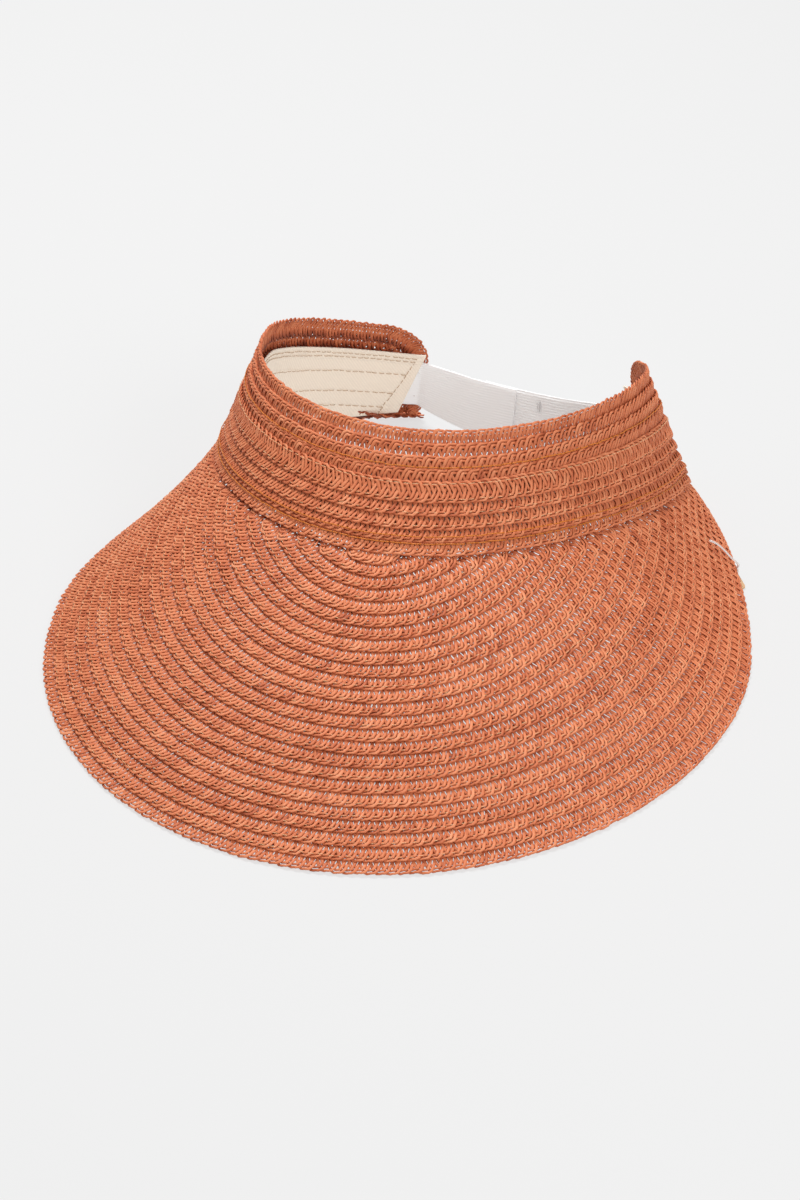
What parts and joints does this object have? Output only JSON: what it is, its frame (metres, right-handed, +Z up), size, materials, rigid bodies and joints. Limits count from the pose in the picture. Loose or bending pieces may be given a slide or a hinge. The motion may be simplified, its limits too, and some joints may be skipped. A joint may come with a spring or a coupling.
{
  "type": "sun visor",
  "caption": "Roll-up sun visor of sewn straw braid with a wide sloping brim, an open crown band with a lining, and an overlapping back strap.",
  "frame": {"origin": "on the table, below the middle of the visor's overall length and width", "axes": "+Z up, -Y towards the front of the brim, +X to the wearer's left"},
  "size_m": [0.2767, 0.3258, 0.1004],
  "materials": {
    "straw_braid": "matte",
    "straw_thread": "matte",
    "orange_thread": "matte",
    "lining_thread": "matte",
    "white_thread": "matte",
    "lining_fabric": "matte",
    "strap_tape": "matte",
    "tag_card": "matte",
    "tag_filament": "satin"
  },
  "bodies": {
    "visor": {"band_row_1": "straw_braid", "band_row_2": "straw_braid", "band_row_3": "straw_braid", "band_row_4": "straw_braid", "band_row_5": "straw_braid", "band_row_6": "straw_braid", "band_row_7": "straw_braid", "band_row_8": "straw_braid", "band_row_9": "straw_braid", "band_thread_lower": "orange_thread", "band_thread_middle": "orange_thread", "band_thread_upper": "orange_thread", "brim_row_01": "straw_braid", "brim_row_02": "straw_braid", "brim_row_03": "straw_braid", "brim_row_04": "straw_braid", "brim_row_05": "straw_braid", "brim_row_06": "straw_braid", "brim_row_07": "straw_braid", "brim_row_08": "straw_braid", "brim_row_09": "straw_braid", "brim_row_10": "straw_braid", "brim_row_11": "straw_braid", "brim_row_12": "straw_braid", "brim_row_13": "straw_braid", "brim_row_14": "straw_braid", "brim_row_15": "straw_braid", "brim_row_16": "straw_braid", "brim_row_17": "straw_braid", "brim_row_18": "straw_braid", "brim_row_19": "straw_braid", "brim_row_20": "straw_braid", "brim_row_21": "straw_braid", "brim_row_22": "straw_braid", "brim_row_23": "straw_braid", "brim_row_24": "straw_braid", "brim_row_25": "straw_braid", "brim_stitching": "straw_thread", "left_strap_root": "strap_tape", "lining": "lining_fabric", "lining_thread_bottom": "lining_thread", "lining_thread_left_end": "lining_thread", "lining_thread_middle_lower": "lining_thread", "lining_thread_middle_upper": "lining_thread", "lining_thread_right_end": "lining_thread", "lining_thread_top_lower": "lining_thread", "lining_thread_top_upper": "lining_thread", "right_strap_root": "strap_tape", "tag_fastener": "tag_filament"},
    "left_strap": {"left_strap": "strap_tape"},
    "right_strap": {"right_strap": "strap_tape", "right_strap_bartack": "white_thread"},
    "hang_tag": {"hang_tag": "tag_card"}
  },
  "joints": [
    {"name": "left_strap_swing", "type": "hinge", "parent": "visor", "child": "left_strap", "pos_m": [-0.03298, 0.14622, 0.02311], "axis": [-0.1471, 0.2261, -0.9629], "range_deg": [0, 60]},
    {"name": "right_strap_swing", "type": "hinge", "parent": "visor", "child": "right_strap", "pos_m": [0.06875, 0.12474, 0.02749], "axis": [0.2546, 0.169, -0.9522], "range_deg": [0, 30]},
    {"name": "hang_tag_swing", "type": "hinge", "parent": "visor", "child": "hang_tag", "pos_m": [0.11423, 0.06144, 0.0007], "axis": [0, 0, -1], "range_deg": [0, 45]}
  ]
}
